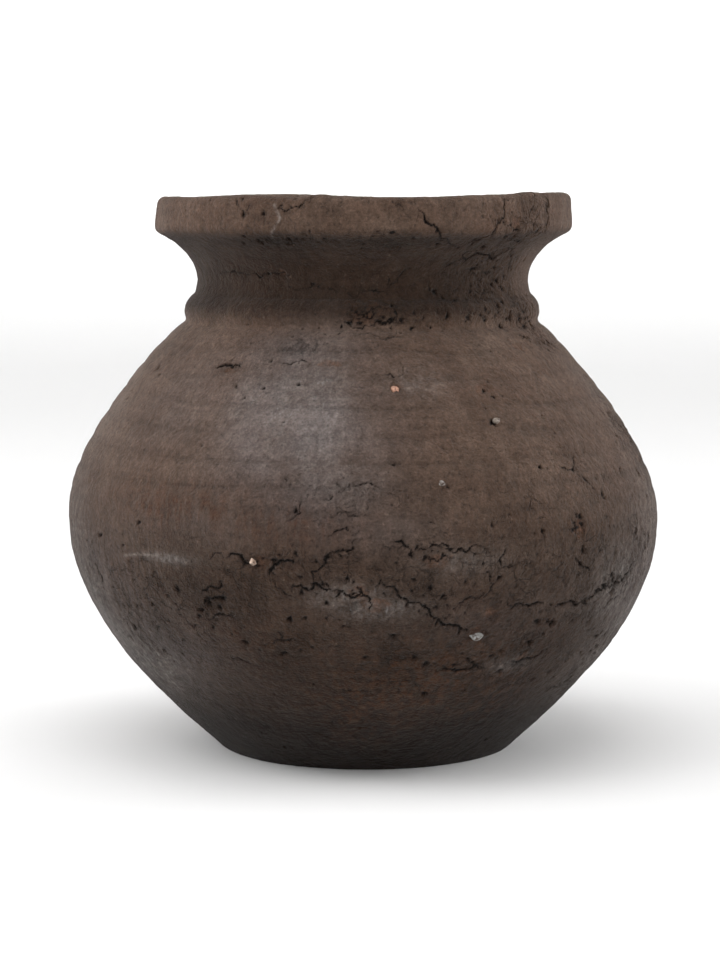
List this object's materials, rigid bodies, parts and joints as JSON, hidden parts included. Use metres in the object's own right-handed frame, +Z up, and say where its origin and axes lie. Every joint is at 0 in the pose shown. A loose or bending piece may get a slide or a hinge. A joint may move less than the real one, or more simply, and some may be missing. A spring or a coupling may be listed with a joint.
{
  "type": "coil-built clay jar",
  "caption": "Round-bellied open jar of coarse dark earthenware with a ridged shoulder, a waisted neck and a thick turned-out rim, standing on a flat foot.",
  "frame": {"origin": "centre of the flat foot, on the surface the pot stands on", "axes": "+Z up along the axis of the pot; the face in the picture looks along -Y, with +X to its right"},
  "size_m": [0.352, 0.352, 0.328],
  "materials": {
    "dark_clay": "matte unglazed, brushed, dusty on the ridges",
    "sooty_clay": "matte unglazed, smoke-darkened",
    "grit": "rough broken grain"
  },
  "bodies": {
    "root": {"base_slab": "sooty_clay", "lower_bowl": "sooty_clay", "belly_coil_1": "dark_clay", "belly_coil_2": "dark_clay", "belly_coil_3": "dark_clay", "belly_coil_4": "dark_clay", "belly_coil_5": "dark_clay", "shoulder_coil_1": "dark_clay", "shoulder_coil_2": "dark_clay", "shoulder_coil_3": "dark_clay", "shoulder_coil_4": "dark_clay", "shoulder_coil_5": "dark_clay", "shoulder_coil_6": "dark_clay", "shoulder_coil_7": "dark_clay", "neck_collar": "dark_clay", "neck_coil_1": "dark_clay", "neck_coil_2": "dark_clay", "rim_coil": "dark_clay", "grain_quartz": "grit", "grain_pale": "grit", "grain_pink": "grit", "grain_grey": "grit", "grain_flint": "grit"}
  },
  "joints": []
}
